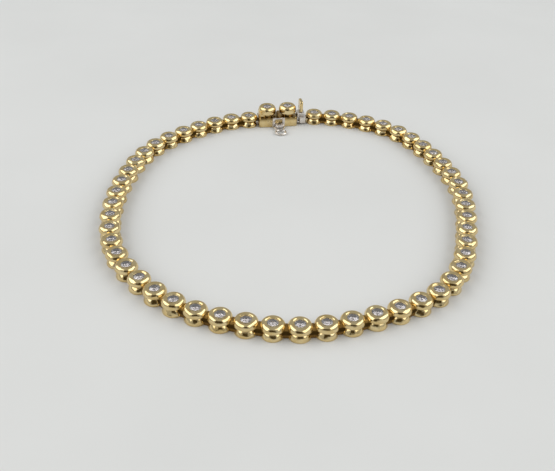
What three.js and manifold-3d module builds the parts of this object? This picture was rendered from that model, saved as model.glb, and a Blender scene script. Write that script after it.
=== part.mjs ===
import * as THREE from 'three';
import { mergeVertices } from 'three/addons/utils/BufferGeometryUtils.js';
import Module from 'manifold-3d';

const wasm = await Module();
wasm.setup();

// Driving dimensions of the chain, in mm
const LINK_COUNT = 52;
const PITCH = 3.3;
const LINK_GAP = 0.13;
const FOOT_STEP = 0.085;
const WAIST_RADIUS = 1.02;
const WAIST_HEIGHT = 1.04;
const FOOT_RING_HEIGHT = 0.98;
const BEZEL_RING_HEIGHT = 0.99;
const RING_EDGE = 0.3;
const FOOT_EDGE = 0.06;
const FOOT_EQUATOR = 0.3;
const SHOULDER_RADIUS = 1.48;
const SHOULDER_DROP = 0.24;
const CREST_RADIUS = 1.2;
const SEAT_DEPTH = 0.15;

// Stones: round, with a table and a ring of crown facets
const STONE_RADIUS = 0.8;
const TABLE_SHARE = 0.56;
const CROWN_HEIGHT = 0.15;
const PAVILION_SHARE = 0.8;
const GIRDLE_HEIGHT = 0.08;
const STONE_FACETS = 10;
const STONE_CLEARANCE = 0.1;

// Wire eyes and the upright pins that they pass round
const EYE_HALF_WIDTH = 0.42;
const EYE_WIRE_RADIUS = 0.14;
const PIN_RADIUS = 0.15;
const PIN_DISTANCE = 1.2;
const SOCKET_CLEARANCE = 0.11;

// Clasp box and the cups on it
const BOX_LENGTH = 7.1;
const BOX_WIDTH = 3.0;
const BOX_HEIGHT = 1.8;
const BOX_WALL = 0.35;
const BOX_CORNER = 0.4;
const BOX_END_WALL = 1.05;
const CUP_SPACING = 3.75;
const CUP_LIFT = 1.58;
const CUP_SKIRT = 0.45;
const END_GAP = 0.115;
const PIN_INSET = 0.27;

// Tongue, its spring and the thumb tab
const TONGUE_REACH = 1.7;
const TONGUE_HALF_WIDTH = 0.9;
const SHEET = 0.25;
const FIT = 0.1;
const FOLD_CLEARANCE = 0.2;
const END_BLOCK_HALF_WIDTH = 1.15;
const END_BLOCK_TOP = 1.55;
const SPRING_SHELF_BOTTOM = 2.0;
const TAB_THICKNESS = 0.5;
const TAB_WIDTH = 2.0;
const TAB_TOP = 4.55;
const TAB_INSET = 0.4;
const TAB_EDGE_ROUND = 0.5;

// Safety latch, its hinge plate and its peg
const LATCH_SHIFT = 0;
const LATCH_WIRE_RADIUS = 0.18;
const LATCH_ARM_HALF_WIDTH = 0.9;
const LATCH_NECK_HALF_WIDTH = 0.55;
const LATCH_NECK_REACH = 1.5;
const LATCH_RING_HALF_WIDTH = 0.9;
const LATCH_RING_HALF_LENGTH = 0.8;
const LATCH_RING_REACH = 2.2;
const LATCH_OPEN_DROP = 3;
const HINGE_HEIGHT = 0.42;
const HINGE_BARREL_RADIUS = 0.4;
const HINGE_BARREL_HALF_LENGTH = 0.5;
const HINGE_BORE_CLEARANCE = 0.08;
const PLATE_THICKNESS = 0.25;
const PLATE_GAP = 0.1;
const PLATE_ARM_WIDTH = 0.45;
const PLATE_TOP = 1.95;
const PEG_RADIUS = 0.24;
const PEG_OVERHANG = 0.2;

// How finely round forms are faceted
const LINK_SIDES = 10;
const CUP_SIDES = 12;
const WIRE_SIDES = 5;
const LATCH_WIRE_SIDES = 6;
const ROUND_SIDES = 12;

// Route of the chain seen from above, from the clasp round by the right
const ROUTE_POINTS = [
  [-2.5, 28.5], [7.5, 29.5], [19.5, 23.5], [26.5, 7], [25, -10], [21, -20], [13.5, -26],
  [0.5, -30], [-13, -27], [-22, -19], [-26, -9.5], [-26.5, 3.5], [-23, 16], [-13, 25.5],
];

// Share of the clasp's length that lies on the right of the route's first point
const START_SHARE = 0.5615;

const GOLD = new THREE.MeshStandardMaterial({ color: 0xd9b866, roughness: 0.22, metalness: 1 });
const WHITE_GOLD = new THREE.MeshStandardMaterial({ color: 0xcfccc6, roughness: 0.25, metalness: 1 });
const DIAMOND = new THREE.MeshStandardMaterial({ color: 0xe8e6f0, roughness: 0.03, metalness: 0 });

// Sizes worked out from the driving dimensions
const bezelRadius = (PITCH - LINK_GAP) / 2;
const footRadius = bezelRadius - FOOT_STEP;
const linkHeight = FOOT_RING_HEIGHT + BEZEL_RING_HEIGHT + RING_EDGE / 2;
const leftReach = BOX_LENGTH / 2 + END_GAP + bezelRadius;
const rightReach = leftReach + TONGUE_REACH;
const claspSpan = leftReach + rightReach;
const socketPinDistance = bezelRadius + END_GAP + PIN_INSET;
const socketHalfWidth = EYE_HALF_WIDTH + EYE_WIRE_RADIUS + SOCKET_CLEARANCE;
const socketHalfHeight = EYE_WIRE_RADIUS + SOCKET_CLEARANCE;

// Turns a closed geometry into a solid that can be joined and cut
function solidOf(geometry) {
  const bare = geometry.index ? geometry.toNonIndexed() : geometry.clone();
  bare.deleteAttribute('normal');
  bare.deleteAttribute('uv');
  const merged = mergeVertices(bare, 1e-5);
  return new wasm.Manifold(new wasm.Mesh({
    numProp: 3,
    vertProperties: new Float32Array(merged.attributes.position.array),
    triVerts: new Uint32Array(merged.index.array),
  }));
}

// Turns a solid back into a geometry
function geometryOf(solid) {
  const mesh = solid.getMesh();
  const geometry = new THREE.BufferGeometry();
  geometry.setAttribute('position', new THREE.BufferAttribute(mesh.vertProperties, 3));
  geometry.setIndex(new THREE.BufferAttribute(mesh.triVerts, 1));
  geometry.computeVertexNormals();
  return geometry;
}

function joined(solids) {
  return solids.reduce((whole, next) => whole.add(next));
}

// Solid of revolution about +Z from a list of [radius, height] pairs
function turned(profile, sides) {
  const points = profile.map(([radius, height]) => new THREE.Vector2(radius, height));
  return new THREE.LatheGeometry(points, sides).rotateX(Math.PI / 2);
}

function block(minimum, maximum) {
  const size = maximum.map((high, axis) => high - minimum[axis]);
  const middle = maximum.map((high, axis) => (high + minimum[axis]) / 2);
  return new THREE.BoxGeometry(...size).translate(...middle);
}

function uprightPin(x, y, low, high, radius) {
  const pin = new THREE.CylinderGeometry(radius, radius, high - low, LATCH_WIRE_SIDES);
  return pin.rotateX(Math.PI / 2).translate(x, y, (low + high) / 2);
}

// Round wire along a smooth line through the given points
function wire(points, radius, sides, steps) {
  const path = new THREE.CatmullRomCurve3(points.map((point) => new THREE.Vector3(...point)));
  const section = new THREE.Shape();
  for (let corner = 0; corner < sides; corner += 1) {
    const angle = (corner / sides) * 2 * Math.PI;
    const [across, up] = [radius * Math.cos(angle), radius * Math.sin(angle)];
    if (corner === 0) {
      section.moveTo(across, up);
    } else {
      section.lineTo(across, up);
    }
  }
  section.closePath();
  return new THREE.ExtrudeGeometry(section, { steps, bevelEnabled: false, extrudePath: path });
}

// Level wire with sharp mitred bends through the given corners
function bentWire(corners, height) {
  const path = corners.map(([x, y]) => new THREE.Vector2(x, y));
  const rings = path.map((corner, index) => {
    const before = path[Math.max(index - 1, 0)];
    const after = path[Math.min(index + 1, path.length - 1)];
    const along = after.clone().sub(before).normalize();
    const mitre = index > 0 && index < path.length - 1 ? Math.SQRT2 : 1;
    const across = new THREE.Vector2(-along.y, along.x).multiplyScalar(mitre * EYE_WIRE_RADIUS);
    return Array.from({ length: WIRE_SIDES }, (_, side) => {
      const angle = (side / WIRE_SIDES) * 2 * Math.PI;
      const shift = across.clone().multiplyScalar(Math.cos(angle));
      return [corner.x + shift.x, corner.y + shift.y, height + EYE_WIRE_RADIUS * Math.sin(angle)];
    });
  });
  return skinned(rings);
}

// Closed skin over a row of rings that have the same number of points
function skinned(rings) {
  const sides = rings[0].length;
  const faces = [];
  for (let ring = 0; ring < rings.length - 1; ring += 1) {
    for (let side = 0; side < sides; side += 1) {
      const [low, high] = [ring * sides, (ring + 1) * sides];
      const next = (side + 1) % sides;
      faces.push(low + side, high + next, high + side);
      faces.push(low + side, low + next, high + next);
    }
  }
  const end = (rings.length - 1) * sides;
  for (let side = 1; side < sides - 1; side += 1) {
    faces.push(0, side + 1, side);
    faces.push(end, end + side, end + side + 1);
  }
  const geometry = new THREE.BufferGeometry();
  geometry.setAttribute('position', new THREE.Float32BufferAttribute(rings.flat(2), 3));
  geometry.setIndex(faces);
  return geometry;
}

// Profile of one link: foot ring, narrow waist, bezel ring, shelf down to the stone, and its crown
function linkProfile() {
  const bezelFoot = FOOT_RING_HEIGHT + RING_EDGE + LINK_GAP;
  const crest = linkHeight;
  const seat = crest - SEAT_DEPTH;
  return [
    [0, 0],
    [footRadius - FOOT_EDGE, 0],
    [footRadius, FOOT_EQUATOR],
    [WAIST_RADIUS, WAIST_HEIGHT],
    [bezelRadius, bezelFoot],
    [SHOULDER_RADIUS, crest - SHOULDER_DROP],
    [CREST_RADIUS, crest],
    [STONE_RADIUS, seat],
    [STONE_RADIUS * TABLE_SHARE, seat + CROWN_HEIGHT],
    [0, seat + CROWN_HEIGHT],
  ];
}

// Wire eye that leaves a link's waist along +X and goes round a pin at the given distance
function eyeGeometry(reach) {
  const start = WAIST_RADIUS * 0.75;
  const half = EYE_HALF_WIDTH;
  const points = [[start, -half], [reach + half, -half], [reach + half, half], [start, half]];
  return bentWire(points, WAIST_HEIGHT);
}

// Pin that stands in the groove of a link on its -X side
function groovePinGeometry() {
  const half = socketHalfHeight + SOCKET_CLEARANCE;
  return uprightPin(-PIN_DISTANCE, 0, WAIST_HEIGHT - half, WAIST_HEIGHT + half, PIN_RADIUS);
}

// Pocket in the waist of a link that lets the eye of the link before it turn freely
function groovePocketGeometry() {
  const inner = PIN_DISTANCE - socketHalfWidth;
  return block(
    [-bezelRadius, -socketHalfWidth, WAIST_HEIGHT - socketHalfHeight],
    [-inner, socketHalfWidth, WAIST_HEIGHT + socketHalfHeight],
  );
}

// Scales the route to the given length and gives a point on it at a distance from its start
function routeOfLength(length) {
  const points = ROUTE_POINTS.map(([x, y]) => new THREE.Vector3(x, y, 0));
  const plain = new THREE.CatmullRomCurve3(points, true, 'catmullrom');
  plain.arcLengthDivisions = 2000;
  const scale = length / plain.getLength();
  return (distance) => plain.getPointAt(THREE.MathUtils.euclideanModulo(distance / length, 1))
    .multiplyScalar(scale);
}

// Places the links a pitch apart, with the ends exactly as far apart as the clasp is long
function placeLinks() {
  const chainLength = (LINK_COUNT - 1) * PITCH;
  const passes = 4;
  let bridge = claspSpan;
  let centres = [];
  for (let pass = 0; pass < passes; pass += 1) {
    const pointAt = routeOfLength(chainLength + bridge);
    const start = bridge * START_SHARE;
    centres = Array.from({ length: LINK_COUNT }, (_, index) => pointAt(start + index * PITCH));
    bridge += claspSpan - centres[0].distanceTo(centres[LINK_COUNT - 1]);
  }
  return centres;
}

// Matrix of a frame at a point, with +X towards another point and +Z up
function frameTowards(from, towards) {
  const angle = Math.atan2(towards.y - from.y, towards.x - from.x);
  return new THREE.Matrix4().makeRotationZ(angle).setPosition(from);
}

const linkCentres = placeLinks();
const firstLink = linkCentres[0];
const lastLink = linkCentres[LINK_COUNT - 1];
const claspCentre = lastLink.clone().lerp(firstLink, leftReach / claspSpan);
const claspFrame = frameTowards(claspCentre, firstLink);

// One run of links from the first index up to the one before the last index
function chainSolid(first, last) {
  const pieces = [];
  const put = (geometry, frame) => pieces.push(solidOf(geometry.clone().applyMatrix4(frame)));
  const link = turned(linkProfile(), LINK_SIDES);
  const plainEye = eyeGeometry(PITCH - PIN_DISTANCE);
  for (let index = first; index < last; index += 1) {
    const centre = linkCentres[index];
    const next = linkCentres[index + 1];
    const before = linkCentres[index - 1];
    const towardsClasp = frameTowards(centre, claspCentre);
    put(link, frameTowards(centre, next ?? claspCentre));
    if (next) {
      put(plainEye, frameTowards(centre, next));
    } else {
      put(eyeGeometry(socketPinDistance), towardsClasp);
    }
    if (!before) {
      put(eyeGeometry(socketPinDistance), towardsClasp);
    }
  }
  return joined(pieces);
}

// The run that starts at the meeting place has a pocket and a pin there for the other run's eye
function chainSolidWithPocket(first, last) {
  const centre = linkCentres[first];
  const away = frameTowards(linkCentres[first - 1], centre).setPosition(centre);
  const pocket = solidOf(groovePocketGeometry().applyMatrix4(away));
  const pin = solidOf(groovePinGeometry().applyMatrix4(away));
  return chainSolid(first, last).subtract(pocket).add(pin);
}

function roundedOutline(halfLength, halfWidth, corner) {
  const outline = new THREE.Shape();
  outline.moveTo(-halfLength + corner, -halfWidth);
  outline.lineTo(halfLength - corner, -halfWidth);
  outline.absarc(halfLength - corner, -halfWidth + corner, corner, -Math.PI / 2, 0);
  outline.lineTo(halfLength, halfWidth - corner);
  outline.absarc(halfLength - corner, halfWidth - corner, corner, 0, Math.PI / 2);
  outline.lineTo(-halfLength + corner, halfWidth);
  outline.absarc(-halfLength + corner, halfWidth - corner, corner, Math.PI / 2, Math.PI);
  outline.lineTo(-halfLength, -halfWidth + corner);
  outline.absarc(-halfLength + corner, -halfWidth + corner, corner, Math.PI, 1.5 * Math.PI);
  return outline;
}

// Heights inside the clasp, from its floor up
const tongueBottom = BOX_WALL + FIT;
const tongueTop = tongueBottom + SHEET;
const springTop = BOX_HEIGHT - BOX_WALL - FIT - FIT / 2;
const springBottom = springTop - SHEET;
const cavityStart = -BOX_LENGTH / 2 + BOX_END_WALL;
const foldEnd = cavityStart + FOLD_CLEARANCE + SHEET;
const springStart = foldEnd + FIT;
const boxEnd = BOX_LENGTH / 2;
const tongueEnd = boxEnd + TONGUE_REACH;
const rightPinX = tongueEnd - PIN_INSET;
const leftPinX = -boxEnd + PIN_INSET;
const riserStart = boxEnd + FIT;
const riserEnd = riserStart + SHEET;
const endBlockStart = riserEnd + FIT;
const springEnd = tongueEnd - PIN_INSET;
const springShelfTop = SPRING_SHELF_BOTTOM + SHEET;

// Cup with a deeper bezel than a link's and a deep seat for a loose stone, standing on the box
function cupProfile() {
  const seat = linkHeight - SEAT_DEPTH;
  const shelf = STONE_RADIUS + STONE_CLEARANCE;
  const girdleFoot = seat - GIRDLE_HEIGHT - STONE_CLEARANCE;
  const pitBottom = girdleFoot - STONE_RADIUS * PAVILION_SHARE;
  const bezelFoot = FOOT_RING_HEIGHT + RING_EDGE + LINK_GAP;
  const footHeight = BOX_HEIGHT - CUP_LIFT - BOX_WALL / 2;
  return [
    [0, footHeight],
    [WAIST_RADIUS, footHeight],
    [WAIST_RADIUS, WAIST_HEIGHT - CUP_SKIRT],
    [bezelRadius, bezelFoot - CUP_SKIRT],
    [SHOULDER_RADIUS, linkHeight - SHOULDER_DROP],
    [CREST_RADIUS, linkHeight],
    [shelf, seat],
    [shelf, girdleFoot],
    [0, pitBottom],
  ].map(([radius, height]) => [radius, height + CUP_LIFT]);
}

// Loose stone with table, crown, girdle and pavilion
function looseStoneProfile() {
  const girdleTop = linkHeight + CUP_LIFT - SEAT_DEPTH;
  const girdleBottom = girdleTop - GIRDLE_HEIGHT;
  return [
    [0, girdleBottom - STONE_RADIUS * PAVILION_SHARE],
    [STONE_RADIUS, girdleBottom],
    [STONE_RADIUS, girdleTop],
    [STONE_RADIUS * TABLE_SHARE, girdleTop + CROWN_HEIGHT],
    [0, girdleTop + CROWN_HEIGHT],
  ];
}

function looseStone(side) {
  return turned(looseStoneProfile(), STONE_FACETS).translate((side * CUP_SPACING) / 2, 0, 0);
}

// Window with an upright pin in it, which the eye of an end link passes round
function eyeWindow(pinX, direction) {
  const inner = pinX - direction * socketHalfWidth;
  const outer = pinX + direction * 2 * PIN_INSET;
  return solidOf(block(
    [Math.min(inner, outer), -socketHalfWidth, WAIST_HEIGHT - socketHalfHeight],
    [Math.max(inner, outer), socketHalfWidth, WAIST_HEIGHT + socketHalfHeight],
  ));
}

function windowPin(pinX) {
  const half = socketHalfHeight + SOCKET_CLEARANCE;
  return solidOf(uprightPin(pinX, 0, WAIST_HEIGHT - half, WAIST_HEIGHT + half, PIN_RADIUS));
}

const hingeY = -(BOX_WIDTH / 2 + PLATE_GAP + PLATE_THICKNESS + LATCH_WIRE_RADIUS + FIT / 2);
const pegHeight = HINGE_HEIGHT + LATCH_RING_REACH;

// Peg that the closed latch snaps over, on a post between the cups
function pegSolids() {
  const postFront = -BOX_WIDTH / 2 + BOX_WALL;
  const postBack = postFront + 3 * PEG_RADIUS;
  const pegFront = hingeY - LATCH_WIRE_RADIUS - PEG_OVERHANG;
  const post = block(
    [LATCH_SHIFT - PEG_RADIUS, postFront, BOX_HEIGHT - BOX_WALL / 2],
    [LATCH_SHIFT + PEG_RADIUS, postBack, pegHeight + PEG_RADIUS],
  );
  const pegLength = postFront + PEG_RADIUS - pegFront;
  const peg = new THREE.CylinderGeometry(PEG_RADIUS, PEG_RADIUS, pegLength, ROUND_SIDES)
    .translate(LATCH_SHIFT, pegFront + pegLength / 2, pegHeight);
  return [solidOf(post), solidOf(peg)];
}

function claspBoxSolid() {
  const outline = roundedOutline(BOX_LENGTH / 2, BOX_WIDTH / 2, BOX_CORNER);
  const settings = { depth: BOX_HEIGHT, bevelEnabled: false, curveSegments: 3 };
  const outside = solidOf(new THREE.ExtrudeGeometry(outline, settings));
  const cavity = solidOf(block(
    [cavityStart, -BOX_WIDTH / 2 + BOX_WALL, BOX_WALL],
    [boxEnd + BOX_WALL, BOX_WIDTH / 2 - BOX_WALL, BOX_HEIGHT - BOX_WALL],
  ));
  const cups = [-1, 1].map((side) => solidOf(
    turned(cupProfile(), CUP_SIDES).translate((side * CUP_SPACING) / 2, 0, 0),
  ));
  const hollow = outside.subtract(cavity).subtract(eyeWindow(leftPinX, -1));
  return joined([hollow, windowPin(leftPinX), ...cups, ...pegSolids()]);
}

// Lower leaf of the tongue, its fold inside the box and the end block with the pin
function tongueSolid() {
  const leaf = block(
    [foldEnd - SHEET, -TONGUE_HALF_WIDTH, tongueBottom],
    [endBlockStart + SHEET, TONGUE_HALF_WIDTH, tongueTop],
  );
  const fold = block(
    [foldEnd - SHEET, -TONGUE_HALF_WIDTH, tongueBottom],
    [foldEnd, TONGUE_HALF_WIDTH, springTop],
  );
  const endBlock = block(
    [endBlockStart, -END_BLOCK_HALF_WIDTH, BOX_WALL],
    [tongueEnd, END_BLOCK_HALF_WIDTH, END_BLOCK_TOP],
  );
  const solid = joined([solidOf(leaf), solidOf(fold), solidOf(endBlock)]);
  return solid.subtract(eyeWindow(rightPinX, 1)).add(windowPin(rightPinX));
}

// Upper leaf of the tongue, which springs at the fold and carries the thumb tab
function springGeometry() {
  const side = new THREE.Shape();
  side.moveTo(springStart, springBottom);
  side.lineTo(riserEnd, springBottom);
  side.lineTo(riserEnd, SPRING_SHELF_BOTTOM);
  side.lineTo(springEnd, SPRING_SHELF_BOTTOM);
  side.lineTo(springEnd, springShelfTop);
  side.lineTo(riserStart, springShelfTop);
  side.lineTo(riserStart, springTop);
  side.lineTo(springStart, springTop);
  side.closePath();
  const width = 2 * (TONGUE_HALF_WIDTH - FIT);
  return new THREE.ExtrudeGeometry(side, { depth: width, bevelEnabled: false })
    .rotateX(Math.PI / 2)
    .translate(0, width / 2, 0);
}

// Upright plate with a rounded top, soldered on the spring's shelf
function thumbTabGeometry() {
  const bottom = springShelfTop + FIT;
  const halfHeight = (TAB_TOP - bottom) / 2;
  const outline = roundedOutline(halfHeight, TAB_WIDTH / 2, TAB_EDGE_ROUND);
  const settings = { depth: TAB_THICKNESS, bevelEnabled: false, curveSegments: 3 };
  return new THREE.ExtrudeGeometry(outline, settings)
    .rotateY(-Math.PI / 2)
    .translate(springEnd - TAB_INSET, 0, bottom + halfHeight);
}

// White metal plate on the inner side of the box, with the barrel of the latch hinge at its foot
function hingePlateSolid() {
  const back = -BOX_WIDTH / 2 - PLATE_GAP;
  const front = back - PLATE_THICKNESS;
  const outer = LATCH_ARM_HALF_WIDTH + PLATE_ARM_WIDTH / 2;
  const inner = outer - PLATE_ARM_WIDTH;
  const plate = solidOf(block(
    [LATCH_SHIFT - outer, front, HINGE_HEIGHT - LATCH_WIRE_RADIUS],
    [LATCH_SHIFT + outer, back, PLATE_TOP],
  ));
  const window = solidOf(block(
    [LATCH_SHIFT - inner, front - FIT, HINGE_HEIGHT + HINGE_BARREL_RADIUS],
    [LATCH_SHIFT + inner, back + FIT, PLATE_TOP - PLATE_THICKNESS],
  ));
  const barrel = solidOf(alongX(HINGE_BARREL_RADIUS, HINGE_BARREL_HALF_LENGTH, ROUND_SIDES));
  const boreRadius = LATCH_WIRE_RADIUS + HINGE_BORE_CLEARANCE;
  const bore = solidOf(alongX(boreRadius, HINGE_BARREL_HALF_LENGTH + FIT, ROUND_SIDES));
  return plate.subtract(window).add(barrel).subtract(bore);
}

// Cylinder along X about the latch's hinge axis
function alongX(radius, halfLength, sides) {
  return new THREE.CylinderGeometry(radius, radius, 2 * halfLength, sides)
    .rotateZ(Math.PI / 2)
    .translate(LATCH_SHIFT, hingeY, HINGE_HEIGHT);
}

// Wire latch in the shape of an eight, lying open with its ring near the table
function safetyLatchSolid() {
  const neckBend = (LATCH_ARM_HALF_WIDTH + LATCH_NECK_HALF_WIDTH) / 2;
  const arm = (side) => wire(
    [
      [side * LATCH_ARM_HALF_WIDTH, 0, 0],
      [side * LATCH_ARM_HALF_WIDTH, -LATCH_NECK_REACH / 3, 0],
      [side * neckBend, (-LATCH_NECK_REACH * 3) / 4, 0],
      [side * LATCH_NECK_HALF_WIDTH, -LATCH_NECK_REACH, 0],
    ],
    LATCH_WIRE_RADIUS,
    LATCH_WIRE_SIDES,
    3,
  );
  const axle = new THREE.CylinderGeometry(
    LATCH_WIRE_RADIUS, LATCH_WIRE_RADIUS, 2 * LATCH_ARM_HALF_WIDTH + LATCH_WIRE_RADIUS, LATCH_WIRE_SIDES,
  ).rotateZ(Math.PI / 2);
  const stretch = LATCH_RING_HALF_LENGTH / LATCH_RING_HALF_WIDTH;
  const ring = new THREE.TorusGeometry(
    LATCH_RING_HALF_WIDTH, LATCH_WIRE_RADIUS, LATCH_WIRE_SIDES, ROUND_SIDES,
  ).scale(1, stretch, 1).translate(0, -LATCH_RING_REACH, 0);
  const drop = new THREE.Matrix4().makeRotationX(THREE.MathUtils.degToRad(LATCH_OPEN_DROP))
    .setPosition(LATCH_SHIFT, hingeY, HINGE_HEIGHT);
  return joined([arm(-1), arm(1), axle, ring].map((shape) => solidOf(shape.applyMatrix4(drop))));
}

function named(name, geometry, material) {
  const mesh = new THREE.Mesh(geometry, material);
  mesh.name = name;
  return mesh;
}

const meetingLink = Math.floor(LINK_COUNT / 2);
const chain = new THREE.Group();
chain.add(named('links_right', geometryOf(chainSolid(0, meetingLink)), GOLD));
chain.add(named('links_left', geometryOf(chainSolidWithPocket(meetingLink, LINK_COUNT)), GOLD));

const clasp = new THREE.Group();
clasp.add(named('clasp_box', geometryOf(claspBoxSolid()), GOLD));
clasp.add(named('clasp_stone_left', looseStone(-1), DIAMOND));
clasp.add(named('clasp_stone_right', looseStone(1), DIAMOND));
clasp.add(named('tongue', geometryOf(tongueSolid()), WHITE_GOLD));
clasp.add(named('tongue_spring', springGeometry(), WHITE_GOLD));
clasp.add(named('thumb_tab', thumbTabGeometry(), GOLD));
clasp.add(named('hinge_plate', geometryOf(hingePlateSolid()), WHITE_GOLD));
clasp.add(named('safety_latch', geometryOf(safetyLatchSolid()), WHITE_GOLD));
clasp.applyMatrix4(claspFrame);

// The bracelet lies on its feet, with the middle of its plan at the origin
const bracelet = new THREE.Group();
bracelet.add(chain, clasp);
bracelet.updateMatrixWorld(true);
const extent = new THREE.Box3().setFromObject(bracelet, true);
const middle = extent.getCenter(new THREE.Vector3());
bracelet.position.set(-middle.x, -middle.y, -extent.min.z);
bracelet.updateMatrixWorld(true);

export default bracelet;
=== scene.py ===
import math

import bmesh
import bpy
import numpy as np
from mathutils import Matrix, Vector


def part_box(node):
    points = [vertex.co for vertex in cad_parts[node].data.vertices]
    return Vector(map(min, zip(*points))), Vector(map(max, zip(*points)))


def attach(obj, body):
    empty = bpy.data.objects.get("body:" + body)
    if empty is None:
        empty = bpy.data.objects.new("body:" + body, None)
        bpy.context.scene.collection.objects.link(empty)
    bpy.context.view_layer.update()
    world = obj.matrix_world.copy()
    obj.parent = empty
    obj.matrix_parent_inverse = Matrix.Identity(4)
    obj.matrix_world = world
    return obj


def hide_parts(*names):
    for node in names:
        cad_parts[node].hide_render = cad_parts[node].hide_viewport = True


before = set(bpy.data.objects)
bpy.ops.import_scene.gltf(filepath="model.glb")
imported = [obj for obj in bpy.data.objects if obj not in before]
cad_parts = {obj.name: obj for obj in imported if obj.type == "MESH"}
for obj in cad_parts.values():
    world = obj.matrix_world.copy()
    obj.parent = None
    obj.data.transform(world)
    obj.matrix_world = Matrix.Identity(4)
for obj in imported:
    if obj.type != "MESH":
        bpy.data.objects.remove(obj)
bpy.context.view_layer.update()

MM = 0.001

# Chain sizes, in millimetres as on the drawing
LINK_COUNT = 52
PITCH = 3.3
WAIST_RADIUS = 1.02
WAIST_HEIGHT = 1.04
FOOT_RING = ((1.34, 0.0), (1.415, 0.01), (1.468, 0.05), (1.488, 0.12), (1.483, 0.2), (1.457, 0.3),
             (1.415, 0.42), (1.355, 0.56), (1.288, 0.69), (1.21, 0.81), (1.14, 0.9))
BEZEL_LIP = ((1.2, 1.19), (1.38, 1.21), (1.51, 1.25), (1.57, 1.31), (1.585, 1.39))
BEZEL_DOME = ((1.585, 1.39), (1.57, 1.52), (1.53, 1.67), (1.47, 1.81), (1.39, 1.94),
              (1.29, 2.04), (1.18, 2.1), (1.1, 2.12))
BEZEL_SHELF = ((1.1, 2.12), (1.03, 2.11), (0.95, 2.08), (0.89, 2.045), (0.84, 2.02), (0.77, 2.01),
               (0.72, 2.0), (0.7, 1.93))
SEAT_HEIGHT = 1.95
SEAT_GAP = 0.01
SEAT_DROP = 0.1
PIT_RADIUS = 0.1
PIT_DEPTH = 0.8

# Stones, and shares of a round brilliant's radius, crown and pavilion
STONE_RADIUS = 0.8
CROWN_HEIGHT = 0.16
GIRDLE_HEIGHT = 0.05
PAVILION_DEPTH = 0.66
STONE_LEAN = math.radians(2.5)
TABLE_RADIUS = 0.56
STAR_RADIUS = 0.78
STAR_HEIGHT = 0.42
LOWER_RADIUS = 0.42
LOWER_DEPTH = 0.6

# Wire eyes and pins between the links
EYE_HALF_WIDTH = 0.34
EYE_WIRE_RADIUS = 0.14
PIN_RADIUS = 0.15
PIN_DISTANCE = 1.2
PIN_SPARE = 0.1
SOCKET_PIN_DISTANCE = 1.97
SOCKET_HALF_HEIGHT = 0.25
ROOT_SHARE = 0.75

# Solid root of an eye, and the web under it
LUG_HALF_WIDTH = 0.58
LUG_BOTTOM = 0.9
LUG_TOP = 1.6
LUG_REACH = 2.25
WEB_HALF_WIDTH = 0.62
WEB_BOTTOM = 0.03
WEB_TOP = 1.3
LUG_EDGE = 0.3
WEB_EDGE = 0.1

# Clasp sizes
LEFT_REACH = 5.25
RIGHT_REACH = 6.95
START_SHARE = 0.5615
BOX_LENGTH = 7.1
BOX_WIDTH = 3.0
BOX_HEIGHT = 1.8
BOX_WALL = 0.35
BOX_CORNER = 0.45
CUP_SPACING = 3.75
CUP_LIFT = 1.58
CUP_SKIRT = 0.45
CUP_SEAT = 3.55

# Fineness of the round forms
LINK_SIDES = 40
CUP_SIDES = 48
WIRE_SIDES = 10
SMALL_SIDES = 24
ARC_STEPS = 12
EYE_STEPS = 8
CORNER_STEPS = 8
EDGE_STEPS = 4
BEND_STEPS = 5
RING_STEPS = 40
ARM_STEPS = 14
LINE_STEPS = 3
CHAIN_SMOOTH_DEGREES = 40
CLASP_SMOOTH_DEGREES = 35
FLAT_DEGREES = 0.5

# Waves of hand polishing and fine scratches, heights in metres and scales per metre
WAVE_HEIGHT = 0.0003
WAVE_SCALE = 750.0
WAVE_DETAIL = 1.0
SCRATCH_HEIGHT = 0.000006
SCRATCH_SCALE = 4500.0
SCRATCH_DETAIL = 3.0
RELIEF_STRENGTH = 0.7

# Scales of the patches and grains of a surface, per metre
PATCH_SCALE = 900.0
GRAIN_SCALE = 2600.0
GRAIN_DETAIL = 6.0
TINT_SCALE = 1200.0
MOTTLE_SCALE = 30.0

# Heights in millimetres of the bands of painted shade, in grooves and on the connectors: start,
# full, fading and end
CHAIN_GROOVE = (0.85, 0.98, 1.14, 1.25)
CONNECTOR_SHADE = (0.4, 0.65, 1.12, 1.3)
CLASP_GROOVE = (1.15, 1.6, 2.3, 2.42)

# Finishes: base colour, worn colour, and roughness where polished and where dull
GOLD = ((0.70, 0.51, 0.22), (0.81, 0.66, 0.37), 0.10, 0.2)
# Darker amber gold of the connectors: painted shade and painted reflection of the neighbouring
# links' gold, on the same yellow gold
SHADED_AMBER_GOLD = ((0.25, 0.14, 0.035), (0.37, 0.22, 0.065), 0.4, 0.55)
# Dark gold of the latch's post and peg: painted shade of the recess between the cups, on the same
# yellow gold
SHADED_RECESS_GOLD = ((0.26, 0.17, 0.06), (0.36, 0.24, 0.10), 0.3, 0.45)
WHITE_GOLD = ((0.72, 0.67, 0.62), (0.84, 0.79, 0.74), 0.2, 0.32)
# Painted shade in the chain's waist grooves
CHAIN_PAINTED_SHADE = (0.30, 0.19, 0.07)
# Painted shade in a band from the upper part of the box's face and its top up to the cups' waists
CLASP_PAINTED_SHADE = (0.33, 0.23, 0.09)
# Painted shade across the middle heights of the connectors, where the gaps between the links are
# darkest
CONNECTOR_PAINTED_SHADE = (0.07, 0.038, 0.008)

# Cut stone, floor and dark cloth
STONE_COLOUR = (0.6, 0.57, 0.6)
STONE_TINTS = ((0.50, 0.46, 0.46), (0.74, 0.68, 0.66))
STONE_ROUGHNESS = 0.08
STONE_CLEARNESS = 0.88
STONE_INDEX = 2.42
FLOOR_COLOUR = (0.7, 0.7, 0.68)
FLOOR_TINTS = ((0.71, 0.71, 0.69), (0.74, 0.74, 0.72))
FLOOR_ROUGHNESS = 0.75
CLOTH_COLOUR = (0.055, 0.035, 0.004)
CLOTH_ROUGHNESS = 0.9

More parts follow.
